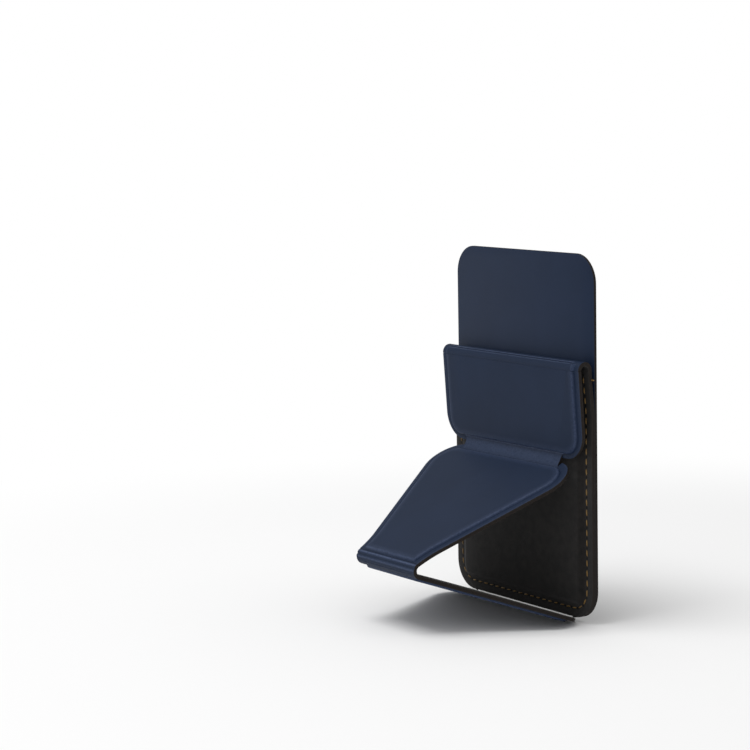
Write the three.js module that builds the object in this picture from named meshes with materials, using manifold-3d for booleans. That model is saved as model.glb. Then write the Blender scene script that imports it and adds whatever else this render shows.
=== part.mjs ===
// Stick-on card pocket with a folding cover that props up as a stand.
// Millimetres. The origin is the centre of the adhesive's back face, +Z is up and -Y is the front.
// Shown open: the flap hangs in front of the pocket, and the two leaves stand out as a triangle.
import * as THREE from 'three';
import { mergeVertices } from 'three/addons/utils/BufferGeometryUtils.js';
import Module from 'manifold-3d';

const wasm = await Module();
wasm.setup();

// Back panel
const PANEL_WIDTH = 64.4;
const PANEL_HEIGHT = 100.6;
const PANEL_CORNER = 8;
const ADHESIVE_THICKNESS = 0.25;
const ADHESIVE_MARGIN = 0.3;
const CORE_THICKNESS = 0.35;
const FACE_THICKNESS = 0.35;
const GLUE_LINE = 0.05;

// Leather skin and suede lining, which the pocket and the cover share
const SKIN_THICKNESS = 0.45;
const LINING_THICKNESS = 0.55;
const SEAM_GAP = 0.06;

// Pocket, sewn down at the sides and the bottom
const POCKET_MOUTH_Z = 19.2;
const CARD_SPACE = 0.95;
const SEAM_WIDTH = 3.4;
const POCKET_SLOPE = 1.8;
const MOUTH_RISE = 13;

// Keeper strip inside the back panel
const KEEPER_WIDTH = 34;
const KEEPER_HEIGHT = 7;
const KEEPER_CLEARANCE = 0.15;

// Mouth fold, from the pocket's top edge over to the flap
const MOUTH_FOLD_RADIUS = 1.74;
const FLAP_LEAN = 3.75;

// Flap
const FLAP_LENGTH = 23.6;
const FLAP_EAR = 1.2;
const FLAP_CORNER = 7.5;

// Boards, pressed into the skin as raised fields
const BOARD_THICKNESS = 0.6;
const RAISED_MARGIN = 2.2;
const RAISED_END_MARGIN = 0.2;
const RAISED_CORNER = 5.3;
const RAISED_SMALL_CORNER = 2;
const RAISED_CHAMFER = 0.25;
const BOARD_CLEARANCE = 0.1;

// Top fold, a narrow strip between two notches
const TOP_FOLD_LENGTH = 5.1;
const TOP_FOLD_WIDTH = 45;

// Upper leaf, wide at the top fold and narrow at the waist
const UPPER_LEAF_ANGLE = -60.4;
const UPPER_LEAF_LENGTH = 46.8;
const LEAF_WIDTH = 60.6;
const LEAF_CORNER = 8.3;
const LEAF_EAR = 2.3;

// Waist fold
const WAIST_WIDTH = 28.6;
const WAIST_RADIUS = 23;
const WAIST_FOLD_LENGTH = 4.3;

// Lower leaf, narrow at the waist and wide at its free end
const LOWER_LEAF_ANGLE = 70.5;
const LOWER_LEAF_LENGTH = 47.1;

// Closing magnet in the lower leaf's board
const MAGNET_WIDTH = 30;
const MAGNET_LENGTH = 5;
const MAGNET_SETBACK = 5;
const MAGNET_CLEARANCE = 0.15;

// Closed cover: what lies flat on what
const CLOSED_CLEARANCE = 0.3;
const CLOSED_LEAF_CLEARANCE = 1.3;
const CLOSED_DROP = 1;

// Steps of the arcs, the bent folds and the pocket's sloping edges
const ARC_STEPS = 9;
const FOLD_STEPS = 8;
const SLOPE_STEPS = 4;
const WELD_DISTANCE = 0.00001;

const RIGHT_ANGLE = Math.PI / 2;
const toRadians = THREE.MathUtils.degToRad;

const navyLeather = new THREE.MeshStandardMaterial({ color: 0x2b374c, roughness: 0.55, metalness: 0 });
const greySuede = new THREE.MeshStandardMaterial({ color: 0x4a4643, roughness: 0.95, metalness: 0 });
const blackBoard = new THREE.MeshStandardMaterial({ color: 0x17151a, roughness: 0.85, metalness: 0 });
const greyBoard = new THREE.MeshStandardMaterial({ color: 0x8c8880, roughness: 0.9, metalness: 0 });
const blackAdhesive = new THREE.MeshStandardMaterial({ color: 0x101012, roughness: 0.5, metalness: 0 });
const nickel = new THREE.MeshStandardMaterial({ color: 0xa9a9a6, roughness: 0.35, metalness: 1 });

// Heights of the layers above the mounting surface
const coreBack = ADHESIVE_THICKNESS + GLUE_LINE;
const faceBack = coreBack + CORE_THICKNESS + GLUE_LINE;
const panelFront = faceBack + FACE_THICKNESS;
const pocketBack = panelFront + GLUE_LINE;
const sheetThickness = SKIN_THICKNESS + GLUE_LINE + LINING_THICKNESS;
const halfSheet = sheetThickness / 2;
const pocketFront = pocketBack + CARD_SPACE + sheetThickness;
const skinLow = halfSheet - SKIN_THICKNESS;
const raisedHeight = BOARD_THICKNESS + GLUE_LINE;
const waistHalf = WAIST_WIDTH / 2;
const foldHalf = TOP_FOLD_WIDTH / 2;
const waistToLeaf = WAIST_FOLD_LENGTH / 2;
const boardInset = SKIN_THICKNESS + BOARD_CLEARANCE;

function rotated([y, z], angle) {
  const cosine = Math.cos(angle);
  const sine = Math.sin(angle);
  return [cosine * y - sine * z, sine * y + cosine * z];
}

function shifted([y, z], [dy, dz], scale = 1) {
  return [y + dy * scale, z + dz * scale];
}

// In the side view, which way a leaf runs and which way its skin faces
const runs = (angle) => [Math.sin(angle), -Math.cos(angle)];
const faces = (angle) => [-Math.cos(angle), -Math.sin(angle)];

// The point that a turn leaves in place when it carries one point to another
function turningCentre(from, to, turn) {
  const middle = [(from[0] + to[0]) / 2, (from[1] + to[1]) / 2];
  const half = [(to[0] - from[0]) / 2, (to[1] - from[1]) / 2];
  const reach = 1 / Math.tan(turn / 2);
  return [middle[0] - half[1] * reach, middle[1] + half[0] * reach];
}

function asSolid(geometry) {
  const bare = geometry.clone();
  bare.deleteAttribute('normal');
  bare.deleteAttribute('uv');
  const merged = mergeVertices(bare, WELD_DISTANCE);
  const vertProperties = new Float32Array(merged.attributes.position.array);
  const triVerts = new Uint32Array(merged.index.array);
  return new wasm.Manifold(new wasm.Mesh({ numProp: 3, vertProperties, triVerts }));
}

function asGeometry(solid) {
  const mesh = solid.getMesh();
  const geometry = new THREE.BufferGeometry();
  geometry.setAttribute('position', new THREE.BufferAttribute(new Float32Array(mesh.vertProperties), 3));
  geometry.setIndex(new THREE.BufferAttribute(new Uint32Array(mesh.triVerts), 1));
  geometry.computeVertexNormals();
  return geometry;
}

function named(name, geometry, material) {
  const mesh = new THREE.Mesh(geometry, material);
  mesh.name = name;
  return mesh;
}

// A flat layer: the shape lies in X and Z, and the layer grows from one height to the next towards -Y
function layer(shape, low, thickness, chamfer = 0) {
  const geometry = new THREE.ExtrudeGeometry(shape, {
    depth: thickness - 2 * chamfer,
    bevelEnabled: chamfer > 0,
    bevelThickness: chamfer,
    bevelSize: chamfer,
    bevelOffset: -chamfer,
    bevelSegments: 1,
    curveSegments: ARC_STEPS,
  });
  geometry.translate(0, 0, low + chamfer);
  geometry.rotateX(RIGHT_ANGLE);
  return geometry;
}

function box(halfWidth, zLow, zHigh) {
  const shape = new THREE.Shape();
  shape.moveTo(-halfWidth, zLow);
  shape.lineTo(halfWidth, zLow);
  shape.lineTo(halfWidth, zHigh);
  shape.lineTo(-halfWidth, zHigh);
  shape.closePath();
  return shape;
}

// A rectangle with one radius at its lower corners and another at its upper ones
function roundedPanel(halfWidth, zLow, zHigh, lowerRadius, upperRadius) {
  const shape = new THREE.Shape();
  shape.absarc(halfWidth - lowerRadius, zLow + lowerRadius, lowerRadius, -RIGHT_ANGLE, 0);
  shape.absarc(halfWidth - upperRadius, zHigh - upperRadius, upperRadius, 0, RIGHT_ANGLE);
  shape.absarc(-halfWidth + upperRadius, zHigh - upperRadius, upperRadius, RIGHT_ANGLE, Math.PI);
  shape.absarc(-halfWidth + lowerRadius, zLow + lowerRadius, lowerRadius, Math.PI, 3 * RIGHT_ANGLE);
  shape.closePath();
  return shape;
}

// Half of an hourglass: round corners at the wide end, a straight taper, and a waist drawn in by a
// large round. Distances run from the waist line at 0 to the wide end, and the sign turns it over.
function leafShape(length, start, inset, sign) {
  const cornerRadius = LEAF_CORNER - inset;
  const waistRadius = WAIST_RADIUS + inset;
  const corner = [LEAF_WIDTH / 2 - LEAF_CORNER, length - LEAF_CORNER];
  const waist = [waistHalf + WAIST_RADIUS, 0];
  const apart = Math.hypot(waist[0] - corner[0], waist[1] - corner[1]);
  const leaning = Math.atan2(waist[0] - corner[0], corner[1] - waist[1]);
  const taper = Math.asin((cornerRadius + waistRadius) / apart) - leaning;
  const half = [];
  const waistStart = Math.asin(start / waistRadius);
  for (let step = 0; step <= ARC_STEPS; step += 1) {
    const angle = waistStart + (taper - waistStart) * step / ARC_STEPS;
    half.push([waist[0] - waistRadius * Math.cos(angle), waistRadius * Math.sin(angle)]);
  }
  for (let step = 0; step <= ARC_STEPS; step += 1) {
    const angle = -taper + (RIGHT_ANGLE + taper) * step / ARC_STEPS;
    half.push([corner[0] + cornerRadius * Math.cos(angle), corner[1] + cornerRadius * Math.sin(angle)]);
  }
  const shape = new THREE.Shape();
  const place = (x, along) => new THREE.Vector2(x, sign * along);
  const outline = half.map(([x, along]) => place(x, along));
  half.reverse().forEach(([x, along]) => outline.push(place(-x, along)));
  shape.setFromPoints(outline);
  return shape;
}

// A band bent round an axis along X, between two radii and two angles of the side view
function bentBand(centre, inner, outer, from, to, width) {
  const trim = Math.sign(to - from) * SEAM_GAP / inner;
  const start = from + trim;
  const end = to - trim;
  const points = [];
  for (let step = 0; step <= FOLD_STEPS; step += 1) {
    const angle = start + (end - start) * step / FOLD_STEPS;
    points.push(new THREE.Vector2(centre[0] + outer * Math.cos(angle), centre[1] + outer * Math.sin(angle)));
  }
  for (let step = FOLD_STEPS; step >= 0; step -= 1) {
    const angle = start + (end - start) * step / FOLD_STEPS;
    points.push(new THREE.Vector2(centre[0] + inner * Math.cos(angle), centre[1] + inner * Math.sin(angle)));
  }
  const geometry = new THREE.ExtrudeGeometry(new THREE.Shape(points), { depth: width, bevelEnabled: false });
  geometry.translate(0, 0, -width / 2);
  const sideways = new THREE.Matrix4().set(0, 0, 1, 0, 1, 0, 0, 0, 0, 1, 0, 0, 0, 0, 0, 1);
  geometry.applyMatrix4(sideways);
  return geometry;
}

// Back panel: adhesive, a stiff core with the keeper strip let into it, and a leather face
function backPanel() {
  const halfHeight = PANEL_HEIGHT / 2;
  const outline = (inset) => {
    const radius = PANEL_CORNER - inset;
    return roundedPanel(PANEL_WIDTH / 2 - inset, -halfHeight + inset, halfHeight - inset, radius, radius);
  };
  const keeperLow = -halfHeight + MAGNET_SETBACK;
  const keeperHigh = keeperLow + KEEPER_HEIGHT;
  const keeperHalf = KEEPER_WIDTH / 2;
  const grown = KEEPER_CLEARANCE;
  const window = box(keeperHalf + grown, keeperLow - grown, keeperHigh + grown);
  const core = asSolid(layer(outline(0), coreBack, CORE_THICKNESS));
  const opened = core.subtract(asSolid(layer(window, coreBack - GLUE_LINE, CORE_THICKNESS + 2 * GLUE_LINE)));
  const keeper = layer(box(keeperHalf, keeperLow, keeperHigh), coreBack, CORE_THICKNESS);
  return [
    named('adhesive_sheet', layer(outline(ADHESIVE_MARGIN), 0, ADHESIVE_THICKNESS), blackAdhesive),
    named('back_core', asGeometry(opened), blackBoard),
    named('keeper_strip', keeper, nickel),
    named('back_face', layer(outline(0), faceBack, FACE_THICKNESS), navyLeather),
  ];
}

// How far the pocket stands off the panel: nothing at the seam, the card's space inside it, and
// all of its width by the time it reaches the mouth
function pocketLift(across, z) {
  const bottom = -PANEL_HEIGHT / 2 + SEAM_WIDTH;
  const inside = PANEL_WIDTH / 2 - SEAM_WIDTH;
  const side = THREE.MathUtils.smoothstep(inside - Math.abs(across), 0, POCKET_SLOPE);
  const mouth = THREE.MathUtils.smoothstep(z, POCKET_MOUTH_Z - MOUTH_RISE, POCKET_MOUTH_Z);
  const base = THREE.MathUtils.smoothstep(z, bottom, bottom + POCKET_SLOPE);
  return CARD_SPACE * base * (1 - (1 - side) * (1 - mouth));
}

// One formed sheet of the pocket, as a grid of rows and columns with a front and a back
function pocketSheet(low, thickness) {
  const half = PANEL_WIDTH / 2;
  const floor = -PANEL_HEIGHT / 2;
  const top = POCKET_MOUTH_Z - SEAM_GAP;
  const rows = [];
  for (let step = 0; step <= ARC_STEPS; step += 1) {
    rows.push(floor + PANEL_CORNER * (1 - Math.cos(RIGHT_ANGLE * step / ARC_STEPS)));
  }
  for (let step = 1; step <= SLOPE_STEPS; step += 1) {
    rows.push(floor + SEAM_WIDTH + POCKET_SLOPE * step / SLOPE_STEPS);
  }
  for (let step = 0; step <= FOLD_STEPS; step += 1) {
    rows.push(top - MOUTH_RISE * (1 - step / FOLD_STEPS));
  }
  rows.sort((a, b) => a - b);
  const columns = [];
  for (let step = SLOPE_STEPS; step >= 0; step -= 1) {
    columns.push(half - SEAM_WIDTH - POCKET_SLOPE * step / SLOPE_STEPS);
  }
  columns.push(half);
  const across = [...columns.map((x) => -x).reverse(), 0, ...columns];
  const positions = [];
  const index = [];
  const side = across.length;
  const reach = (z) => {
    const drop = Math.max(0, floor + PANEL_CORNER - z);
    return half - PANEL_CORNER + Math.sqrt(Math.max(0, PANEL_CORNER ** 2 - drop ** 2));
  };
  [low, low + thickness].forEach((height) => {
    rows.forEach((z) => across.forEach((x) => {
      positions.push(x * reach(z) / half, -(height + pocketLift(x, z)), z);
    }));
  });
  const backToFront = rows.length * side;
  const quad = (a, b, c, d) => index.push(a, b, c, a, c, d);
  for (let row = 0; row + 1 < rows.length; row += 1) {
    for (let column = 0; column + 1 < side; column += 1) {
      const at = row * side + column;
      quad(at, at + side, at + side + 1, at + 1);
      quad(backToFront + at, backToFront + at + 1, backToFront + at + side + 1, backToFront + at + side);
    }
    const left = row * side;
    const right = left + side - 1;
    quad(left, backToFront + left, backToFront + left + side, left + side);
    quad(right, right + side, backToFront + right + side, backToFront + right);
  }
  const topRow = (rows.length - 1) * side;
  for (let column = 0; column + 1 < side; column += 1) {
    quad(column, column + 1, backToFront + column + 1, backToFront + column);
    const at = topRow + column;
    quad(at, backToFront + at, backToFront + at + 1, at + 1);
  }
  const geometry = new THREE.BufferGeometry();
  geometry.setAttribute('position', new THREE.Float32BufferAttribute(positions, 3));
  geometry.setIndex(index);
  geometry.computeVertexNormals();
  return geometry;
}

// A skin with a raised field pressed over its board, and the hollow behind it that the board fills
function pressedSkin(sheet, raised, hollow) {
  const top = halfSheet + raisedHeight;
  const flat = asSolid(layer(sheet, skinLow, SKIN_THICKNESS));
  const field = asSolid(layer(raised, skinLow, top - skinLow, RAISED_CHAMFER));
  const space = asSolid(layer(hollow, skinLow - raisedHeight, 2 * raisedHeight));
  return flat.add(field).subtract(space);
}

// Cuts a rectangular notch right through a sheet
function cut(solid, notch) {
  return solid.subtract(asSolid(layer(box(...notch), -sheetThickness, 4 * sheetThickness)));
}

// Flap: skin, board and lining, flat in its own frame and hanging from its upper edge
function flapPieces() {
  const half = PANEL_WIDTH / 2;
  const end = -FLAP_LENGTH - FLAP_EAR;
  const sheet = roundedPanel(half, end, -SEAM_GAP, FLAP_CORNER, SEAM_GAP);
  const field = (inset, corner, smallCorner) => roundedPanel(
    half - RAISED_MARGIN - inset,
    -FLAP_LENGTH + RAISED_END_MARGIN + inset,
    -RAISED_END_MARGIN - SEAM_GAP - inset,
    corner - inset,
    smallCorner - inset,
  );
  const raised = field(0, RAISED_CORNER, RAISED_SMALL_CORNER);
  const hollow = field(SKIN_THICKNESS, RAISED_CORNER, RAISED_SMALL_CORNER);
  const board = field(boardInset, RAISED_CORNER, RAISED_SMALL_CORNER);
  const notch = [foldHalf + SEAM_GAP, end - FLAP_EAR, -FLAP_LENGTH + SEAM_GAP];
  const skin = cut(pressedSkin(sheet, raised, hollow), notch);
  const lining = cut(asSolid(layer(sheet, -halfSheet, LINING_THICKNESS)), notch);
  return [
    named('flap_skin', asGeometry(skin), navyLeather),
    named('flap_board', layer(board, skinLow, BOARD_THICKNESS), greyBoard),
    named('flap_lining', asGeometry(lining), greySuede),
  ];
}

// The leaf's sheet, raised field, hollow and board, all drawn from the waist line
function leafShapes(length, sign) {
  const raisedStart = waistToLeaf + RAISED_END_MARGIN;
  const inner = RAISED_MARGIN + SKIN_THICKNESS;
  return {
    sheet: leafShape(length, waistToLeaf + SEAM_GAP, 0, sign),
    raised: leafShape(length, raisedStart, RAISED_MARGIN, sign),
    hollow: leafShape(length, raisedStart + SKIN_THICKNESS, inner, sign),
    board: leafShape(length, raisedStart + boardInset, inner + BOARD_CLEARANCE, sign),
  };
}

// Upper leaf: its wide end meets the top fold between two ears
function upperLeafPieces() {
  const toWaist = UPPER_LEAF_LENGTH + waistToLeaf;
  const shapes = leafShapes(toWaist + LEAF_EAR, 1);
  const notch = [foldHalf + SEAM_GAP, toWaist - SEAM_GAP, toWaist + 2 * LEAF_EAR];
  const skin = cut(pressedSkin(shapes.sheet, shapes.raised, shapes.hollow), notch);
  const lining = cut(asSolid(layer(shapes.sheet, -halfSheet, LINING_THICKNESS)), notch);
  const pieces = [
    named('upper_leaf_skin', asGeometry(skin), navyLeather),
    named('upper_leaf_board', layer(shapes.board, skinLow, BOARD_THICKNESS), greyBoard),
    named('upper_leaf_lining', asGeometry(lining), greySuede),
  ];
  pieces.forEach((piece) => piece.geometry.translate(0, 0, -toWaist));
  return pieces;
}

// Lower leaf: its board holds the magnet near the free end
function lowerLeafPieces() {
  const toEnd = LOWER_LEAF_LENGTH + waistToLeaf;
  const shapes = leafShapes(toEnd, -1);
  const low = -toEnd + MAGNET_SETBACK;
  const high = low + MAGNET_LENGTH;
  const half = MAGNET_WIDTH / 2;
  const room = MAGNET_CLEARANCE;
  const skin = pressedSkin(shapes.sheet, shapes.raised, shapes.hollow);
  const board = asSolid(layer(shapes.board, skinLow, BOARD_THICKNESS));
  const slotted = cut(board, [half + room, low - room, high + room]);
  const pieces = [
    named('lower_leaf_skin', asGeometry(skin), navyLeather),
    named('lower_leaf_board', asGeometry(slotted), greyBoard),
    named('lower_leaf_lining', layer(shapes.sheet, -halfSheet, LINING_THICKNESS), greySuede),
    named('closing_magnet', layer(box(half, low, high), skinLow, BOARD_THICKNESS), nickel),
  ];
  pieces.forEach((piece) => piece.geometry.translate(0, 0, waistToLeaf));
  return pieces;
}

// A fold's two layers; the skin lies outside where the fold closes towards the lining
function foldPieces(prefix, centre, radius, from, to, width, skinOutside) {
  const outside = radius + halfSheet;
  const inside = radius - halfSheet;
  const skinBand = skinOutside ? [outside - SKIN_THICKNESS, outside] : [inside, inside + SKIN_THICKNESS];
  const liningBand = skinOutside ? [inside, inside + LINING_THICKNESS] : [outside - LINING_THICKNESS, outside];
  return [
    named(`${prefix}_skin`, bentBand(centre, ...skinBand, from, to, width), navyLeather),
    named(`${prefix}_lining`, bentBand(centre, ...liningBand, from, to, width), greySuede),
  ];
}

function placed(pieces, [y, z], angle) {
  const group = new THREE.Group();
  pieces.forEach((piece) => group.add(piece));
  group.position.set(0, y, z);
  group.rotation.x = angle;
  return group;
}

// The side view, from the pocket's mouth over the flap and the two leaves
const flapAngle = toRadians(FLAP_LEAN);
const upperAngle = toRadians(UPPER_LEAF_ANGLE);
const lowerAngle = toRadians(LOWER_LEAF_ANGLE);
const pocketMiddle = -(pocketFront - halfSheet);
const mouthCentre = [pocketMiddle - MOUTH_FOLD_RADIUS, POCKET_MOUTH_Z];
const flapStart = shifted(mouthCentre, faces(flapAngle), MOUTH_FOLD_RADIUS);
const flapEnd = shifted(flapStart, runs(flapAngle), FLAP_LENGTH);
const topFoldRadius = TOP_FOLD_LENGTH / (flapAngle - upperAngle);
const topCentre = shifted(flapEnd, faces(flapAngle), topFoldRadius);
const upperStart = shifted(topCentre, faces(upperAngle), -topFoldRadius);
const upperEnd = shifted(upperStart, runs(upperAngle), UPPER_LEAF_LENGTH);
const waistFoldRadius = WAIST_FOLD_LENGTH / (lowerAngle - upperAngle);
const waistCentre = shifted(upperEnd, faces(upperAngle), -waistFoldRadius);
const lowerStart = shifted(waistCentre, faces(lowerAngle), waistFoldRadius);

// Closed cover: the flap lies flat on the panel above the pocket, and the leaves hang over it all
const mouthFoldLength = MOUTH_FOLD_RADIUS * (Math.PI + flapAngle);
const closedFlapMiddle = -(panelFront + CLOSED_CLEARANCE + raisedHeight + halfSheet);
const closedFlapStart = [closedFlapMiddle, POCKET_MOUTH_Z + mouthFoldLength];
const closedUpperStart = [
  -(pocketFront + CLOSED_LEAF_CLEARANCE + halfSheet),
  closedFlapStart[1] + FLAP_LENGTH - CLOSED_DROP,
];
const closedLowerStart = shifted(closedUpperStart, [0, -(UPPER_LEAF_LENGTH + WAIST_FOLD_LENGTH)]);

// Every board's frame in the side view, the panel's first: its upper edge and its angle
const panelFrame = { start: [0, 0], angle: 0 };
const openFrames = [
  panelFrame,
  { start: flapStart, angle: flapAngle },
  { start: upperStart, angle: upperAngle },
  { start: lowerStart, angle: lowerAngle },
];
const closedFrames = [
  panelFrame,
  { start: closedFlapStart, angle: -Math.PI },
  { start: closedUpperStart, angle: 0 },
  { start: closedLowerStart, angle: 0 },
];

const into = (frame, point) => rotated(shifted(point, frame.start, -1), -frame.angle);
const outOf = (frame, point) => shifted(frame.start, rotated(point, frame.angle));

// The point about which a board turns, seen from the board before it, as the fold between them closes
function foldCentre(following) {
  const before = following - 1;
  const bend = (frames) => frames[following].angle - frames[before].angle;
  const turn = bend(closedFrames) - bend(openFrames);
  const seen = (frames) => into(frames[before], outOf(frames[following], [0, 0]));
  const centre = outOf(openFrames[before], turningCentre(seen(openFrames), seen(closedFrames), turn));
  return { centre, turn };
}

const holder = new THREE.Group();
holder.name = 'card_holder';
backPanel().forEach((piece) => holder.add(piece));
holder.add(named('pocket_skin', pocketSheet(pocketBack, SKIN_THICKNESS), navyLeather));
const pocketLiningBack = pocketBack + SKIN_THICKNESS + GLUE_LINE;
holder.add(named('pocket_lining', pocketSheet(pocketLiningBack, LINING_THICKNESS), greySuede));
holder.add(placed(flapPieces(), flapStart, flapAngle));
holder.add(placed(upperLeafPieces(), upperStart, upperAngle));
holder.add(placed(lowerLeafPieces(), lowerStart, lowerAngle));

const mouthEnd = Math.PI + flapAngle;
const mouthFold = foldPieces('mouth_fold', mouthCentre, MOUTH_FOLD_RADIUS, 0, mouthEnd, PANEL_WIDTH, true);
const topFold = foldPieces('top_fold', topCentre, topFoldRadius, flapAngle, upperAngle, 2 * foldHalf, false);
const waistStart = Math.PI + upperAngle;
const waistEnd = Math.PI + lowerAngle;
const waistFold = foldPieces('waist_fold', waistCentre, waistFoldRadius, waistStart, waistEnd, WAIST_WIDTH, true);
[...mouthFold, ...topFold, ...waistFold].forEach((piece) => holder.add(piece));

holder.userData.folds = {
  mouth: foldCentre(1),
  top: foldCentre(2),
  waist: foldCentre(3),
};

export default holder;
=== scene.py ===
import math

import bpy
from mathutils import Matrix, Vector


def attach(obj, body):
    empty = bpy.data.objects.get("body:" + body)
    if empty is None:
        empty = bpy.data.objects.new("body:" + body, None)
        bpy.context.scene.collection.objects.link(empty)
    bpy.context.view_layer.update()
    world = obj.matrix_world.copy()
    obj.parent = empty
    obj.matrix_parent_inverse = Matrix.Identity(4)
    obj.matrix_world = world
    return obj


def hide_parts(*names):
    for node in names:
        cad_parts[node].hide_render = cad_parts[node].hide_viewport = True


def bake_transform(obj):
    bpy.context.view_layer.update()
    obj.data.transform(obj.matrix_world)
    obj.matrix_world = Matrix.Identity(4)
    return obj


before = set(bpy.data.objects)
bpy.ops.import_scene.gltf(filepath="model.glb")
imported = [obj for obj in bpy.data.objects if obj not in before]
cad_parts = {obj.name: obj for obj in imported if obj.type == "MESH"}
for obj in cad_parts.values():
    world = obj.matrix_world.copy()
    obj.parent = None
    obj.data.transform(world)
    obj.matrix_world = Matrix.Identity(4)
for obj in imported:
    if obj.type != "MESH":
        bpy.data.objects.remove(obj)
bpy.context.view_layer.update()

# Bench work and the sizes below are in millimetres; finished pieces are in metres.
MM = 0.001

# Back panel
PANEL_WIDTH = 64.4
PANEL_HEIGHT = 100.6
PANEL_CORNER = 8
ADHESIVE_BACK = 0
ADHESIVE_FRONT = 0.25
ADHESIVE_MARGIN = 0.3
CORE_BACK = 0.3
CORE_FRONT = 0.65
FACE_BACK = 0.7
FACE_FRONT = 1.05
PANEL_EDGE_ROUNDING = 0.08

# Cover sheet, measured from its middle: skin outside, suede lining inside
SKIN_THICKNESS = 0.45
LINING_THICKNESS = 0.55
GLUE_LINE = 0.05
HALF_SHEET = (SKIN_THICKNESS + GLUE_LINE + LINING_THICKNESS) / 2
SKIN_FACE = HALF_SHEET
LINING_FACE = -HALF_SHEET
EDGE_ROUNDING = 0.1

# Pocket
POCKET_BACK = 1.1
POCKET_MOUTH = 19.2
CARD_SPACE = 0.95
SEAM_WIDTH = 3.4
POCKET_SLOPE = 1.8
MOUTH_RISE = 13

# Sewing
STITCH_INSET = 2.5
STITCH_PITCH = 2.8
STITCH_LENGTH = 1.8
THREAD_WIDTH = 0.4
THREAD_HEIGHT = 0.48
STITCH_TWIST = math.radians(5)
STITCH_TOP = 17.6
STITCH_SINK = 0.06
HOLE_WIDTH = 0.7
HOLE_DEPTH = 0.2
HOLE_SINK = 0.17
FURROW_DEPTH = 0.1
FURROW_WIDTH = 0.7
LOOSE_END_WIDTH = 0.4
LOOSE_END_LENGTH = 1.1
LOOSE_END_DROP = 1.2

# Cover, from the mouth over the flap and down the two leaves
MOUTH_FOLD_RADIUS = 1.74
FLAP_LEAN = math.radians(3.75)
FLAP_LENGTH = 23.6
FLAP_EAR = 1.2
FLAP_CORNER = 7.5
TOP_FOLD_LENGTH = 5.1
TOP_FOLD_WIDTH = 45
UPPER_LEAF_ANGLE = math.radians(-60.4)
UPPER_LEAF_LENGTH = 46.8
LOWER_LEAF_ANGLE = math.radians(70.5)
LOWER_LEAF_LENGTH = 47.1
LEAF_WIDTH = 60.6
LEAF_CORNER = 8.3
LEAF_EAR = 2.3
WAIST_WIDTH = 28.6
WAIST_RADIUS = 23
WAIST_FOLD_LENGTH = 4.3

HALF_PANEL = PANEL_WIDTH / 2
HALF_HEIGHT = PANEL_HEIGHT / 2
HALF_TURN = math.pi
QUARTER_TURN = math.pi / 2
ARC_STEPS = 20


def linear(hex_colour):
    """An sRGB hex colour as the linear values that a shader takes."""
    values = [int(hex_colour[i : i + 2], 16) / 255 for i in (1, 3, 5)]
    return [v / 12.92 if v <= 0.04045 else ((v + 0.055) / 1.055) ** 2.4 for v in values] + [1]


# Camera

CAMERA_PLACE = Vector((0.53644, -0.39534, 0.09355))
CAMERA_AZIMUTH = math.radians(57.304)
CAMERA_ELEVATION = math.radians(6.691)
CAMERA_ROLL = math.radians(-1.014)
CAMERA_LENS = 113.77
CAMERA_SENSOR = 36


def set_camera():
    data = bpy.data.cameras.new("camera")
    data.lens = CAMERA_LENS
    data.sensor_width = CAMERA_SENSOR
    camera = bpy.data.objects.new("camera", data)
    bpy.context.collection.objects.link(camera)
    right = Vector((math.cos(CAMERA_AZIMUTH), math.sin(CAMERA_AZIMUTH), 0))
    back = Vector((
        math.sin(CAMERA_AZIMUTH) * math.cos(CAMERA_ELEVATION),
        -math.cos(CAMERA_AZIMUTH) * math.cos(CAMERA_ELEVATION),
        math.sin(CAMERA_ELEVATION),
    ))
    turned = Matrix((right, back.cross(right), back)).transposed()
    rolled = turned @ Matrix.Rotation(CAMERA_ROLL, 3, "Z")
    camera.matrix_world = Matrix.Translation(CAMERA_PLACE) @ rolled.to_4x4()
    bpy.context.scene.camera = camera


set_camera()


# Materials


def node(tree, kind, sockets=None, **settings):
    """Adds a node; a socket given as another node's output is linked, anything else is its value."""
    made = tree.nodes.new(kind)
    for name, value in settings.items():
        setattr(made, name, value)
    for name, value in (sockets or {}).items():
        if isinstance(value, bpy.types.NodeSocket):
            tree.links.new(value, made.inputs[name])
        else:
            made.inputs[name].default_value = value
    return made


def new_material(name):
    material = bpy.data.materials.new(name)
    material.use_nodes = True
    tree = material.node_tree
    tree.nodes.clear()
    place = node(tree, "ShaderNodeTexCoord").outputs["Object"]
    return material, tree, place


def finish_material(tree, shader):
    node(tree, "ShaderNodeOutputMaterial", {"Surface": shader.outputs[0]})


def per_mm(millimetres):
    """The texture scale whose pattern repeats about every so many millimetres."""
    return 1 / (millimetres * MM)


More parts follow.
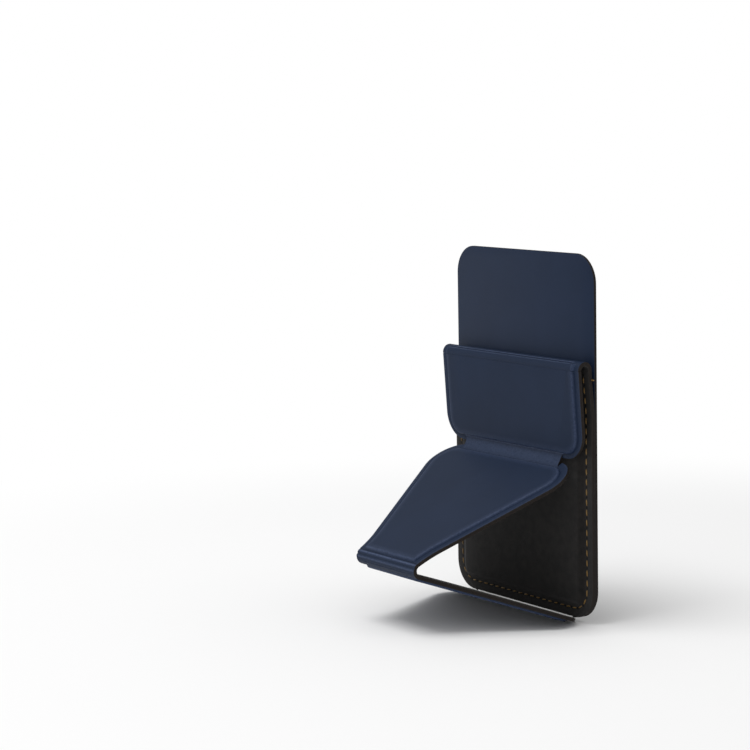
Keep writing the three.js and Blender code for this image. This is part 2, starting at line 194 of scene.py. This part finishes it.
def navy_pu_leather():
    """Polyurethane leather, calendered with a very fine grain and left satin: an even dark navy
    with a soft shine, paler and greyer where an edge or a fold has stretched it, and lighter still
    where a painted highlight lies on the same edges, ridges and slopes."""
    material, tree, place = new_material("navy_pu_leather")
    wear_and_highlight = node(tree, "ShaderNodeAttribute", attribute_name="wear_and_highlight").outputs["Fac"]
    clouds = node(tree, "ShaderNodeTexNoise", {"Vector": place, "Scale": per_mm(14), "Detail": 3})
    base = node(tree, "ShaderNodeMix", {
        0: clouds.outputs["Fac"], 6: linear(NAVY_DEEP), 7: linear(NAVY_LIGHT),
    }, data_type="RGBA")
    speckle = node(tree, "ShaderNodeTexNoise", {"Vector": place, "Scale": per_mm(0.5), "Detail": 2})
    broken = node(tree, "ShaderNodeMapRange", {
        "Value": speckle.outputs["Fac"], "From Min": 0.1, "From Max": 0.6,
    })
    # Lighter navy along raised edges, ridges and creases: part real wear, part painted highlight.
    share = node(tree, "ShaderNodeMath", {0: wear_and_highlight, 1: broken.outputs[0]}, operation="MULTIPLY")
    colour = node(tree, "ShaderNodeMix", {
        0: share.outputs[0], 6: base.outputs[2], 7: linear(NAVY_WORN_AND_HIGHLIGHT),
    }, data_type="RGBA")
    cells = node(tree, "ShaderNodeTexVoronoi", {"Vector": place, "Scale": per_mm(0.42)})
    grain = node(tree, "ShaderNodeBump", {
        "Height": cells.outputs["Distance"], "Strength": 0.22, "Distance": 0.05 * MM,
    })
    finish_material(tree, node(tree, "ShaderNodeBsdfPrincipled", {
        "Base Color": colour.outputs[2], "Normal": grain.outputs[0],
        "Roughness": 0.56, "IOR": 1.48, "Specular IOR Level": 0.14,
    }))
    return material


def shade_darkened_microsuede():
    """Microfibre suede, brushed: a dull warm grey with a fine mottled nap and no shine, its colour
    darkened nearly to black as painted shade.
    """
    material, tree, place = new_material("shade_darkened_microsuede")
    mottle = node(tree, "ShaderNodeTexNoise", {"Vector": place, "Scale": per_mm(2.2), "Detail": 6})
    spread = node(tree, "ShaderNodeMapRange", {
        "Value": mottle.outputs["Fac"], "From Min": 0.32, "From Max": 0.68,
    })
    colour = node(tree, "ShaderNodeMix", {
        0: spread.outputs[0], 6: linear(SHADED_SUEDE_DEEP), 7: linear(SHADED_SUEDE_LIGHT),
    }, data_type="RGBA")
    nap = node(tree, "ShaderNodeTexNoise", {"Vector": place, "Scale": per_mm(0.28), "Detail": 2})
    bump = node(tree, "ShaderNodeBump", {
        "Height": nap.outputs["Fac"], "Strength": 0.5, "Distance": 0.08 * MM,
    })
    finish_material(tree, node(tree, "ShaderNodeBsdfPrincipled", {
        "Base Color": colour.outputs[2], "Normal": bump.outputs[0], "Roughness": 0.9,
        "Specular IOR Level": 0.2, "Sheen Weight": 0.12, "Sheen Roughness": 0.6,
    }))
    return material


def cut_edge():
    """Raw cut edge of the leather and the suede: brown-black, dull and slightly ragged."""
    material, tree, place = new_material("cut_edge")
    fibres = node(tree, "ShaderNodeTexNoise", {"Vector": place, "Scale": per_mm(0.45), "Detail": 4})
    colour = node(tree, "ShaderNodeMix", {
        0: fibres.outputs["Fac"], 6: linear(EDGE_DEEP), 7: linear(EDGE_LIGHT),
    }, data_type="RGBA")
    bump = node(tree, "ShaderNodeBump", {
        "Height": fibres.outputs["Fac"], "Strength": 0.6, "Distance": 0.1 * MM,
    })
    finish_material(tree, node(tree, "ShaderNodeBsdfPrincipled", {
        "Base Color": colour.outputs[2], "Normal": bump.outputs[0], "Roughness": 0.85,
        "Specular IOR Level": 0.25,
    }))
    return material


def plain_finish(name, deep, light, grain, roughness, metallic=0):
    """A plain stock material whose colour varies a little with a grain of so many millimetres."""
    material, tree, place = new_material(name)
    specks = node(tree, "ShaderNodeTexNoise", {"Vector": place, "Scale": per_mm(grain), "Detail": 3})
    colour = node(tree, "ShaderNodeMix", {
        0: specks.outputs["Fac"], 6: linear(deep), 7: linear(light),
    }, data_type="RGBA")
    bump = node(tree, "ShaderNodeBump", {
        "Height": specks.outputs["Fac"], "Strength": 0.2, "Distance": 0.03 * MM,
    })
    finish_material(tree, node(tree, "ShaderNodeBsdfPrincipled", {
        "Base Color": colour.outputs[2], "Normal": bump.outputs[0],
        "Roughness": roughness, "Metallic": metallic,
    }))
    return material


NAVY_DEEP = "#142136"
NAVY_LIGHT = "#1a2840"
# The worn navy is part real wear and part painted highlight.
NAVY_WORN_AND_HIGHLIGHT = "#4a5672"
# The suede's colours are painted shade: its warm grey darkened nearly to black, as it looks in the shade
# under the stand.
SHADED_SUEDE_DEEP = "#100f0f"
SHADED_SUEDE_LIGHT = "#211e1d"
EDGE_DEEP = "#0f0d0d"
EDGE_LIGHT = "#2e2722"

leather = navy_pu_leather()
suede = shade_darkened_microsuede()
raw_edge = cut_edge()
# Dyed fibreboard, bonded from pulp: dull black with a faint fibre.
black_fibreboard = plain_finish("black_fibreboard", "#100f12", "#1c1a1e", 0.5, 0.8)
# Acrylic foam tape: black, smooth and slightly tacky.
foam_tape = plain_finish("acrylic_foam_tape", "#0c0c0e", "#141416", 0.8, 0.55)
# Unlined grey cardboard, pressed from mixed pulp.
grey_cardboard = plain_finish("grey_cardboard", "#7d786f", "#96918a", 0.6, 0.9)
# Cold-rolled spring steel strip, left bare.
rolled_steel = plain_finish("cold_rolled_steel", "#8f9091", "#b4b5b6", 0.7, 0.4, 1)
# Nickel-plated magnet: warm bright metal.
nickel_plate = plain_finish("nickel_plate", "#b3ada3", "#cfc9be", 1.5, 0.3, 1)
# Bonded polyester sewing thread: golden brown, with a dull shine.
polyester_thread = plain_finish("polyester_thread", "#6b5128", "#94743c", 0.3, 0.6)
# Needle holes in the suede: nearly black, because no light comes back out.
needle_shade = plain_finish("needle_shade", "#060505", "#0b0a09", 0.4, 0.95)

for name, material in {
    "keeper_strip": rolled_steel,
    "flap_board": grey_cardboard,
    "upper_leaf_board": grey_cardboard,
    "lower_leaf_board": grey_cardboard,
    "closing_magnet": nickel_plate,
}.items():
    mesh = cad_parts[name].data
    mesh.materials.clear()
    mesh.materials.append(material)


# The side view: a board's frame is its upper edge (y, z) and its angle


def runs(angle):
    return Vector((math.sin(angle), -math.cos(angle)))


def faces(angle):
    return Vector((-math.cos(angle), -math.sin(angle)))


pocket_middle = -(POCKET_BACK + CARD_SPACE + HALF_SHEET)
mouth_centre = Vector((pocket_middle - MOUTH_FOLD_RADIUS, POCKET_MOUTH))
flap_start = mouth_centre + faces(FLAP_LEAN) * MOUTH_FOLD_RADIUS
flap_end = flap_start + runs(FLAP_LEAN) * FLAP_LENGTH
top_radius = TOP_FOLD_LENGTH / (FLAP_LEAN - UPPER_LEAF_ANGLE)
top_centre = flap_end + faces(FLAP_LEAN) * top_radius
upper_start = top_centre - faces(UPPER_LEAF_ANGLE) * top_radius
upper_end = upper_start + runs(UPPER_LEAF_ANGLE) * UPPER_LEAF_LENGTH
waist_radius = WAIST_FOLD_LENGTH / (LOWER_LEAF_ANGLE - UPPER_LEAF_ANGLE)
waist_centre = upper_end - faces(UPPER_LEAF_ANGLE) * waist_radius
lower_start = waist_centre + faces(LOWER_LEAF_ANGLE) * waist_radius


# Bench tools


def only(piece):
    """Makes this piece the only one selected, and the active one."""
    bpy.ops.object.select_all(action="DESELECT")
    piece.select_set(True)
    bpy.context.view_layer.objects.active = piece


def added(name):
    """The primitive just added, under its own name."""
    piece = bpy.context.object
    piece.name = name
    piece.data.name = name
    return piece


def apply_modifier(piece, kind, **settings):
    only(piece)
    made = piece.modifiers.new(kind.lower(), kind)
    for name, value in settings.items():
        setattr(made, name, value)
    bpy.ops.object.modifier_apply(modifier=made.name)


def blank(name, outline):
    """A flat blank on the bench, face up, cut to an outline."""
    bpy.ops.object.select_all(action="DESELECT")
    bpy.ops.mesh.primitive_circle_add(vertices=len(outline), fill_type="NGON")
    piece = added(name)
    for vertex, (x, y) in zip(piece.data.vertices, outline):
        vertex.co = (x, y, 0)
    piece.data.update()
    if piece.data.polygons[0].normal.z < 0:
        piece.data.flip_normals()
    return piece


MARGIN = 1.85
# Pressing a skin over its board: how far in from the cut edge, how high, and how much wear and painted
# highlight it has there
PRESSING = (
    (0, 0, 0.3),
    (0.3, 0, 0.1),
    (MARGIN, 0, 0),
    (2.07, -0.08, 0),
    (2.2, 0.02, 0.15),
    (2.32, 0.26, 0.4),
    (2.45, 0.48, 0.6),
    (2.63, 0.6, 0.45),
    (2.98, 0.64, 0.2),
    (4.3, 0.65, 0),
)


def pressed_skin(name, outline):
    """A skin pressed over its board, face up, as one ring of points for each step of the pressing."""
    rings = [outline(inward) for inward, _, _ in PRESSING]
    count = len(rings[0])
    points = [(x, y, PRESSING[i][1]) for i, ring in enumerate(rings) for x, y in ring]
    quads = [
        (ring * count + i, ring * count + (i + 1) % count,
         (ring + 1) * count + (i + 1) % count, (ring + 1) * count + i)
        for ring in range(len(rings) - 1) for i in range(count)
    ]
    last = len(points) - count
    mesh = bpy.data.meshes.new(name)
    mesh.from_pydata(points, [], quads + [tuple(range(last, len(points)))])
    piece = bpy.data.objects.new(name, mesh)
    bpy.context.collection.objects.link(piece)
    # Each ring keeps the wear and painted highlight given by the pressing.
    attribute = mesh.attributes.new("wear_and_highlight", "FLOAT", "POINT")
    for index in range(len(points)):
        attribute.data[index].value = PRESSING[index // count][2]
    return piece


def cut_notch(piece, half_width, level, side):
    """Cuts away what lies between two lines across and beyond a line along the piece."""
    only(piece)
    bpy.ops.object.mode_set(mode="EDIT")
    bpy.ops.mesh.select_mode(type="FACE")
    for place, direction in (
        ((half_width, 0, 0), (1, 0, 0)),
        ((-half_width, 0, 0), (1, 0, 0)),
        ((0, level, 0), (0, 1, 0)),
    ):
        bpy.ops.mesh.select_all(action="SELECT")
        bpy.ops.mesh.bisect(plane_co=place, plane_no=direction)
    bpy.ops.mesh.select_all(action="DESELECT")
    bpy.ops.object.mode_set(mode="OBJECT")
    for face in piece.data.polygons:
        inside = abs(face.center.x) < half_width and (face.center.y - level) * side > 0
        face.select = inside
    bpy.ops.object.mode_set(mode="EDIT")
    bpy.ops.mesh.delete(type="FACE")
    bpy.ops.object.mode_set(mode="OBJECT")


def thicken(piece, thickness, rounding=EDGE_ROUNDING):
    """Gives a sheet its thickness below its face, with a raw cut edge, and rounds that edge."""
    piece.data.materials.append(raw_edge)
    apply_modifier(
        piece, "SOLIDIFY", thickness=thickness, offset=-1, use_rim=True, material_offset_rim=1,
    )
    if rounding:
        apply_modifier(
            piece, "BEVEL", width=rounding, segments=2, limit_method="ANGLE",
            angle_limit=math.radians(60), use_clamp_overlap=True,
        )


def smooth(piece, degrees=50):
    only(piece)
    bpy.ops.object.shade_smooth_by_angle(angle=math.radians(degrees))


def stand(piece, start, angle):
    """From the bench, face up in millimetres, to its place in the side view, in metres."""
    piece.scale = (MM, MM, MM)
    piece.rotation_euler = (QUARTER_TURN + angle, 0, 0)
    piece.location = (0, start[0] * MM, start[1] * MM)
    only(piece)
    bpy.ops.object.transform_apply(location=True, rotation=True, scale=True)
    return piece


def finished(piece, body, slot, *nodes):
    """Hands a piece to its body, in place of CAD nodes."""
    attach(piece, body)
    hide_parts(*nodes)
    return piece


# Outlines, drawn on the bench anticlockwise


def arc(centre, radius, start, end, steps=ARC_STEPS):
    return [
        (
            centre[0] + radius * math.cos(start + (end - start) * i / steps),
            centre[1] + radius * math.sin(start + (end - start) * i / steps),
        )
        for i in range(steps + 1)
    ]


def panel_outline(half_width, low, high, lower_radius, upper_radius):
    """A rectangle with one radius at its lower corners and another at its upper ones."""
    right_low = arc((half_width - lower_radius, low + lower_radius), lower_radius, -QUARTER_TURN, 0)
    right_high = arc((half_width - upper_radius, high - upper_radius), upper_radius, 0, QUARTER_TURN)
    right = right_low + right_high
    return right + [(-x, y) for x, y in reversed(right)]


def end_inset(inward, end_margin):
    """How far in a ring lies at an end whose margin differs from the sides' margin."""
    return inward * end_margin / MARGIN if inward < MARGIN else end_margin + inward - MARGIN


def flap_outline(inward):
    return panel_outline(
        HALF_PANEL - inward,
        -FLAP_LENGTH - FLAP_EAR + end_inset(inward, FLAP_EAR - FIELD_OVERLAP),
        -RING_STEP * inward,
        FLAP_CORNER - inward,
        FLAP_TOP_ROUNDING,
    )


def leaf_outline(inward, length, end_margin, turn_over):
    """Half an hourglass. On the bench its fold to the flap, or its free end, is at the length from
    the waist fold, and the leaf's first edge is at 0."""
    radius = LEAF_CORNER - inward
    waist_round = WAIST_RADIUS + inward
    top = WAIST_TO_LEAF + length - end_inset(inward, end_margin)
    corner = (LEAF_WIDTH / 2 - LEAF_CORNER, top - radius)
    waist = (WAIST_WIDTH / 2 + WAIST_RADIUS, 0)
    across, along = waist[0] - corner[0], corner[1] - waist[1]
    taper = math.asin((radius + waist_round) / math.hypot(across, along)) - math.atan2(across, along)
    first = math.asin((WAIST_TO_LEAF + end_inset(inward, FOLD_MARGIN)) / waist_round)
    side = arc(waist, waist_round, HALF_TURN - first, HALF_TURN - taper)
    side += arc(corner, radius, -taper, QUARTER_TURN)
    whole = side + [(-x, y) for x, y in reversed(side)]
    if turn_over:
        return [(-x, WAIST_TO_LEAF - y) for x, y in whole]
    return [(x, y - WAIST_TO_LEAF - UPPER_LEAF_LENGTH) for x, y in whole]


# Back panel


def panel_slab(name, material, inset, back, front, slot, *nodes):
    outline = panel_outline(
        HALF_PANEL - inset, -HALF_HEIGHT + inset, HALF_HEIGHT - inset,
        PANEL_CORNER - inset, PANEL_CORNER - inset,
    )
    piece = blank(name, outline)
    piece.data.materials.append(material)
    thicken(piece, front - back, PANEL_EDGE_ROUNDING)
    smooth(piece)
    stand(piece, (-front, 0), 0)
    return finished(piece, "root", slot, *nodes)


panel_slab(
    "panel_adhesive", foam_tape, ADHESIVE_MARGIN, ADHESIVE_BACK, ADHESIVE_FRONT,
    "adhesive", "adhesive_sheet",
)
panel_slab("panel_core", black_fibreboard, 0, CORE_BACK, CORE_FRONT, "black_core", "back_core")
panel_slab("panel_leather", leather, 0, FACE_BACK, FACE_FRONT, "navy_leather", "back_face")


# Pocket


def smoothstep(value, low, high):
    share = min(1, max(0, (value - low) / (high - low)))
    return share * share * (3 - 2 * share)


def pocket_lift(across, z):
    """How far the pocket stands off the panel, in the seam, over the card and at the mouth."""
    side = smoothstep(HALF_PANEL - SEAM_WIDTH - abs(across), 0, POCKET_SLOPE)
    mouth = smoothstep(z, POCKET_MOUTH - MOUTH_RISE, POCKET_MOUTH)
    bottom = -HALF_HEIGHT + SEAM_WIDTH
    base = smoothstep(z, bottom, bottom + POCKET_SLOPE)
    return CARD_SPACE * base * (1 - (1 - side) * (1 - mouth))


def sewn_dip(across, z):
    """The shallow furrow that the thread pulls into the suede."""
    stitch = abs(abs(across) - (HALF_PANEL - STITCH_INSET))
    bottom = abs(z + HALF_HEIGHT - STITCH_INSET)
    near = min(stitch, bottom if abs(across) < HALF_PANEL - STITCH_INSET else stitch)
    return FURROW_DEPTH * math.exp(-((near / FURROW_WIDTH) ** 2))


def pocket_reach(z):
    """Half of the pocket's width at a height, drawn in by its rounded lower corners."""
    drop = max(0, -HALF_HEIGHT + PANEL_CORNER - z)
    return HALF_PANEL - PANEL_CORNER + math.sqrt(max(0, PANEL_CORNER**2 - drop**2))


POCKET_COLUMNS = 110
POCKET_ROWS = 130
ROW_CROWDING = 1.35


def pocket_sheet(name, material, front, thickness, slot, dipped, *nodes):
    """One formed sheet of the pocket, its face at a height over the panel's mounting face."""
    bpy.ops.object.select_all(action="DESELECT")
    bpy.ops.mesh.primitive_grid_add(
        x_subdivisions=POCKET_COLUMNS, y_subdivisions=POCKET_ROWS, size=2,
    )
    piece = added(name)
    height = POCKET_MOUTH + HALF_HEIGHT
    for vertex in piece.data.vertices:
        # The rows crowd towards the bottom, where the corners turn.
        share = ((vertex.co.y + 1) / 2) ** ROW_CROWDING
        z = -HALF_HEIGHT + height * share
        across = vertex.co.x * HALF_PANEL
        lift = pocket_lift(across, z) - (sewn_dip(across, z) if dipped else 0)
        vertex.co = (across * pocket_reach(z) / HALF_PANEL, z, front + lift)
    piece.data.update()
    piece.data.materials.append(material)
    thicken(piece, thickness, 0)
    smooth(piece)
    stand(piece, (0, 0), 0)
    return finished(piece, "root", slot, *nodes)


pocket_skin_front = POCKET_BACK + SKIN_THICKNESS
pocket_front = pocket_skin_front + GLUE_LINE + LINING_THICKNESS
pocket_sheet(
    "pocket_inside", leather, pocket_skin_front, SKIN_THICKNESS, "navy_leather", False, "pocket_skin",
)
pocket_sheet(
    "pocket_suede", suede, pocket_front, LINING_THICKNESS, "grey_suede", True, "pocket_lining",
)


# Flap and leaves

FLAP_TOP_ROUNDING = 0.3
# At the mouth fold the rings of the pressing run out almost on top of each other.
RING_STEP = 0.01
FOLD_MARGIN = 0.1
FIELD_OVERLAP = 0.25


def cover_board(prefix, outline, notch, body, start, angle):
    """A board's pressed skin and its flat suede lining."""
    skin = pressed_skin(f"{prefix}_leather", outline)
    skin.data.materials.append(leather)
    lining = blank(f"{prefix}_suede", outline(0))
    lining.data.materials.append(suede)
    lining.data.flip_normals()
    for piece in (skin, lining):
        if notch:
            cut_notch(piece, *notch)
    thicken(skin, SKIN_THICKNESS)
    thicken(lining, LINING_THICKNESS)
    for piece, height in ((skin, SKIN_FACE), (lining, LINING_FACE)):
        smooth(piece)
        only(piece)
        piece.location.z = height
        bpy.ops.object.transform_apply(location=True, rotation=False, scale=False)
        stand(piece, start, angle)
    finished(skin, body, "navy_leather", f"{prefix}_skin")
    finished(lining, body, "grey_suede", f"{prefix}_lining")


HALF_TOP_FOLD = TOP_FOLD_WIDTH / 2
WAIST_TO_LEAF = WAIST_FOLD_LENGTH / 2


def upper_leaf_outline(inward):
    return leaf_outline(inward, UPPER_LEAF_LENGTH + LEAF_EAR, LEAF_EAR - FIELD_OVERLAP, False)


def lower_leaf_outline(inward):
    return leaf_outline(inward, LOWER_LEAF_LENGTH, MARGIN, True)


cover_board(
    "flap", flap_outline, (HALF_TOP_FOLD, -FLAP_LENGTH, -1), "flap", flap_start, FLAP_LEAN,
)
cover_board(
    "upper_leaf", upper_leaf_outline, (HALF_TOP_FOLD, 0, 1),
    "upper_leaf", upper_start, UPPER_LEAF_ANGLE,
)
cover_board("lower_leaf", lower_leaf_outline, None, "lower_leaf", lower_start, LOWER_LEAF_ANGLE)


# Folds

FOLD_COLUMNS = 150
# The raised field of a board runs on into its fold: its height, where its shoulder starts and ends
# in from the edge, how much wear and painted highlight it has there, and the share of the fold in which it
# rises.
FIELD_HEIGHT = PRESSING[-1][1]
SHOULDER_FOOT = 2.07
SHOULDER_CREST = 2.4
SHOULDER_TOP = 2.63
SHOULDER_WEAR_AND_HIGHLIGHT = 0.7
SHOULDER_WEAR_AND_HIGHLIGHT_WIDTH = 0.3
FIELD_RISE = 0.07
FLARE_POWER = 4


def bent_path(centre, radius, start, end, bulge=1, steps=48):
    """Points along a fold, from one side-view angle to another. A bulge under 1 flattens the arc
    towards its chord."""
    first = Vector((math.cos(start), math.sin(start))) * radius + centre
    last = Vector((math.cos(end), math.sin(end))) * radius + centre
    chord = last - first
    path = []
    for i in range(steps + 1):
        angle = start + (end - start) * i / steps
        on_arc = Vector((math.cos(angle), math.sin(angle))) * radius + centre
        along = (on_arc - first).dot(chord) / chord.length_squared
        on_chord = first + chord * along
        path.append(on_chord + (on_arc - on_chord) * bulge)
    return path


def skin_sides(path):
    """The direction of the skin's side, on the right of the path, at each of its points."""
    sides = []
    for i in range(len(path)):
        before, after = path[max(0, i - 1)], path[min(len(path) - 1, i + 1)]
        ahead = (after - before).normalized()
        sides.append(Vector((ahead.y, -ahead.x)))
    return sides


def fold_sheet(name, path, sides, half_width, face, thickness, material, creases, raised, flare):
    """A strip of sheet bent along a path, its face on the given side of the path. Past the raised
    share of the path it is pressed up with the board that follows."""
    bpy.ops.object.select_all(action="DESELECT")
    bpy.ops.mesh.primitive_grid_add(
        x_subdivisions=FOLD_COLUMNS, y_subdivisions=len(path) - 1, size=2,
    )
    piece = added(name)
    # Wear and painted highlight along the creases and the field's crest.
    attribute = piece.data.attributes.new("wear_and_highlight", "FLOAT", "POINT")
    last = len(path) - 1
    for index, vertex in enumerate(piece.data.vertices):
        row = round((vertex.co.y + 1) / 2 * last)
        share = row / last
        across = vertex.co.x * (half_width + flare * abs(2 * share - 1) ** FLARE_POWER)
        wear_and_highlight_level = 0
        dip = 0
        for place, depth, width, rub_and_highlight, reach in creases:
            near = math.exp(-((share - place) / width) ** 2)
            if reach:
                limit = half_width - reach
                near *= 1 - smoothstep(abs(vertex.co.x) * half_width, limit - 1, limit)
            dip += depth * near
            wear_and_highlight_level = max(wear_and_highlight_level, rub_and_highlight * near)
        if raised:
            inward = half_width - abs(across)
            field = smoothstep(inward, SHOULDER_FOOT, SHOULDER_TOP)
            dip -= FIELD_HEIGHT * field * smoothstep(share, raised, raised + FIELD_RISE)
            # The shoulder's crest is lightened: part wear, part painted highlight.
            if share > raised:
                crest = (inward - SHOULDER_CREST) / SHOULDER_WEAR_AND_HIGHLIGHT_WIDTH
                wear_and_highlight_level = max(wear_and_highlight_level, SHOULDER_WEAR_AND_HIGHLIGHT * math.exp(-(crest**2)))
        attribute.data[index].value = wear_and_highlight_level
        point = path[row] + sides[row] * (face - dip)
        vertex.co = (across, point.x, point.y)
    piece.data.update()
    middle = piece.data.polygons[len(piece.data.polygons) // 2]
    outward = sides[round(last / 2)] * (1 if face > 0 else -1)
    if middle.normal.y * outward.x + middle.normal.z * outward.y < 0:
        piece.data.flip_normals()
    piece.data.materials.append(material)
    thicken(piece, thickness, 0)
    smooth(piece, 40)
    piece.scale = (MM, MM, MM)
    only(piece)
    bpy.ops.object.transform_apply(location=True, rotation=True, scale=True)
    return piece


def fold(prefix, path, half_width, creases, raised=0, flare=0):
    """A fold's skin and lining, bending between the two boards that it joins."""
    sides = skin_sides(path)
    for layer, face, thickness, material, slot, cad_layer in (
        ("leather", SKIN_FACE, SKIN_THICKNESS, leather, "navy_leather", "skin"),
        ("suede", LINING_FACE, LINING_THICKNESS, suede, "grey_suede", "lining"),
    ):
        marks = creases if layer == "leather" else []
        piece = fold_sheet(
            f"{prefix}_{layer}", path, sides, half_width, face, thickness, material, marks,
            raised if layer == "leather" else 0, flare,
        )
        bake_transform(piece)
        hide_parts(f"{prefix}_{cad_layer}")


# Creases along a fold: where, how deep, how wide, how much wear and painted highlight, and how far they
# stop from its edges
fold(
    "mouth_fold",
    bent_path(mouth_centre, MOUTH_FOLD_RADIUS, 0, HALF_TURN + FLAP_LEAN, steps=96),
    HALF_PANEL,
    [(0.58, 0.12, 0.02, 0, 3), (0.625, -0.02, 0.02, 1, 3),
     (0.69, 0.2, 0.02, 0, 3), (0.75, -0.04, 0.03, 1, 3)],
    raised=0.71,
)
fold(
    "top_fold",
    bent_path(top_centre, top_radius, FLAP_LEAN, UPPER_LEAF_ANGLE, bulge=0.5),
    HALF_TOP_FOLD,
    [(0.03, 0, 0.04, 1, 0), (0.5, 0, 0.6, 0.3, 0), (0.95, 0.08, 0.04, 0.2, 0)],
    flare=1.3,
)
fold(
    "waist_fold",
    bent_path(
        waist_centre, waist_radius, HALF_TURN + UPPER_LEAF_ANGLE, HALF_TURN + LOWER_LEAF_ANGLE, steps=72,
    ),
    WAIST_WIDTH / 2,
    [(0.02, 0.1, 0.04, 0, 0), (0.12, -0.04, 0.05, 0.9, 0), (0.3, 0.2, 0.04, 0, 0),
     (0.42, -0.06, 0.05, 0.6, 0), (0.62, 0.12, 0.03, 0, 3.4), (0.84, 0.12, 0.03, 0, 3.4)],
)


# Sewing


def stitch_line():
    """The needle holes, down one side, round the bottom and up the other."""
    half = HALF_PANEL - STITCH_INSET
    radius = PANEL_CORNER - STITCH_INSET
    low = -HALF_HEIGHT + STITCH_INSET
    path = [(-half, STITCH_TOP)]
    path += arc((-half + radius, low + radius), radius, HALF_TURN, HALF_TURN + QUARTER_TURN)
    path += arc((half - radius, low + radius), radius, -QUARTER_TURN, 0)
    path += [(half, STITCH_TOP)]
    points = [Vector(p) for p in path]
    total = sum((b - a).length for a, b in zip(points, points[1:]))
    count = round(total / STITCH_PITCH)
    pitch = total / count
    holes = []
    along = 0
    target = 0
    for a, b in zip(points, points[1:]):
        length = (b - a).length
        while target <= along + length + 1e-6 and len(holes) <= count:
            holes.append(a + (b - a) * ((target - along) / length))
            target += pitch
        along += length
    return holes


ROUND_STEPS = 10


def sew():
    """A stitch from each needle hole to the next, and one loose end at the mouth."""
    holes = stitch_line()
    thread = []
    needle = []
    for index, hole in enumerate(holes):
        level = pocket_front + pocket_lift(hole.x, hole.y) - HOLE_SINK
        bpy.ops.object.select_all(action="DESELECT")
        bpy.ops.mesh.primitive_cylinder_add(
            vertices=ROUND_STEPS, radius=HOLE_WIDTH / 2, depth=HOLE_DEPTH, location=(hole.x, hole.y, level),
        )
        needle.append(added(f"needle_hole_{index}"))
        if index + 1 == len(holes):
            break
        ahead = holes[index + 1] - hole
        middle = hole + ahead / 2
        level = pocket_front + pocket_lift(middle.x, middle.y) - STITCH_SINK
        bpy.ops.object.select_all(action="DESELECT")
        bpy.ops.mesh.primitive_uv_sphere_add(
            segments=ROUND_STEPS, ring_count=8, radius=0.5, location=(middle.x, middle.y, level),
            rotation=(0, 0, math.atan2(ahead.y, ahead.x) + STITCH_TWIST),
            scale=(STITCH_LENGTH, THREAD_WIDTH, THREAD_HEIGHT),
        )
        thread.append(added(f"stitch_{index}"))
    bpy.ops.object.select_all(action="DESELECT")
    bpy.ops.mesh.primitive_cylinder_add(
        vertices=ROUND_STEPS, radius=LOOSE_END_WIDTH / 2, depth=LOOSE_END_LENGTH,
        location=(
            HALF_PANEL + LOOSE_END_LENGTH / 3, STITCH_TOP - LOOSE_END_DROP, POCKET_BACK + CARD_SPACE,
        ),
        rotation=(0, QUARTER_TURN, 0),
    )
    thread.append(added("loose_end"))
    for pieces, name, material, slot in (
        (thread, "sewing_thread", polyester_thread, "grey_suede"),
        (needle, "needle_holes", needle_shade, "grey_suede"),
    ):
        bpy.ops.object.select_all(action="DESELECT")
        for piece in pieces:
            piece.select_set(True)
        bpy.context.view_layer.objects.active = pieces[0]
        bpy.ops.object.join()
        joined = added(name)
        joined.data.materials.append(material)
        bpy.ops.object.transform_apply(location=True, rotation=True, scale=True)
        smooth(joined)
        stand(joined, (0, 0), 0)
        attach(joined, "root")


sew()


# Floor, light and finish

FLOOR_LEVEL = -0.0516
FLOOR_SIZE = 8
SHADOW_REACH = 0.3
WORLD_LEVEL = 0.6
# Each lamp's place, what it aims at, its size and its power
LAMPS = {
    "key_lamp": ((-0.1, -0.35, 0.95), (0, -0.02, 0), 0.6, 5.5),
    "fill_lamp": ((-0.7, -0.35, 0.04), (0, -0.02, -0.03), 0.4, 0.35),
}


def set_stage():
    bpy.ops.object.select_all(action="DESELECT")
    bpy.ops.mesh.primitive_plane_add(size=FLOOR_SIZE, location=(0, 0, FLOOR_LEVEL))
    floor = added("floor")
    material, tree, place = new_material("pale_floor")
    away = node(tree, "ShaderNodeVectorMath", {0: place}, operation="LENGTH").outputs["Value"]
    fade = node(tree, "ShaderNodeMapRange", {
        "Value": away, "From Min": SHADOW_REACH / 2, "From Max": SHADOW_REACH,
    }, interpolation_type="SMOOTHSTEP")
    seen = node(tree, "ShaderNodeLightPath").outputs["Is Camera Ray"]
    share = node(tree, "ShaderNodeMath", {0: fade.outputs[0], 1: seen}, operation="MULTIPLY")
    paper = node(tree, "ShaderNodeBsdfDiffuse", {"Color": linear("#f7f7f7")})
    white = node(tree, "ShaderNodeEmission", {"Color": (1, 1, 1, 1), "Strength": 1})
    finish_material(tree, node(tree, "ShaderNodeMixShader", {
        0: share.outputs[0], 1: paper.outputs[0], 2: white.outputs[0],
    }))
    floor.data.materials.append(material)
    world = bpy.data.worlds.new("studio")
    world.use_nodes = True
    tree = world.node_tree
    tree.nodes.clear()
    path = node(tree, "ShaderNodeLightPath")
    seen = node(tree, "ShaderNodeMath", {
        0: path.outputs["Is Camera Ray"], 1: path.outputs["Is Transmission Ray"],
    }, operation="MAXIMUM")
    around = node(tree, "ShaderNodeBackground", {"Color": (1, 1, 1, 1), "Strength": WORLD_LEVEL})
    shown = node(tree, "ShaderNodeBackground", {"Color": (1, 1, 1, 1), "Strength": 1})
    mix = node(tree, "ShaderNodeMixShader", {
        0: seen.outputs[0], 1: around.outputs[0], 2: shown.outputs[0],
    })
    node(tree, "ShaderNodeOutputWorld", {"Surface": mix.outputs[0]})
    bpy.context.scene.world = world


def soft_lamp(name, place, aim, size, power):
    data = bpy.data.lights.new(name, "AREA")
    data.shape = "SQUARE"
    data.size = size
    data.energy = power
    lamp = bpy.data.objects.new(name, data)
    bpy.context.collection.objects.link(lamp)
    lamp.location = place
    lamp.rotation_euler = (Vector(aim) - Vector(place)).to_track_quat("-Z", "Y").to_euler()


set_stage()
for name, setting in LAMPS.items():
    soft_lamp(name, *setting)

bpy.context.scene.view_settings.view_transform = "Standard"
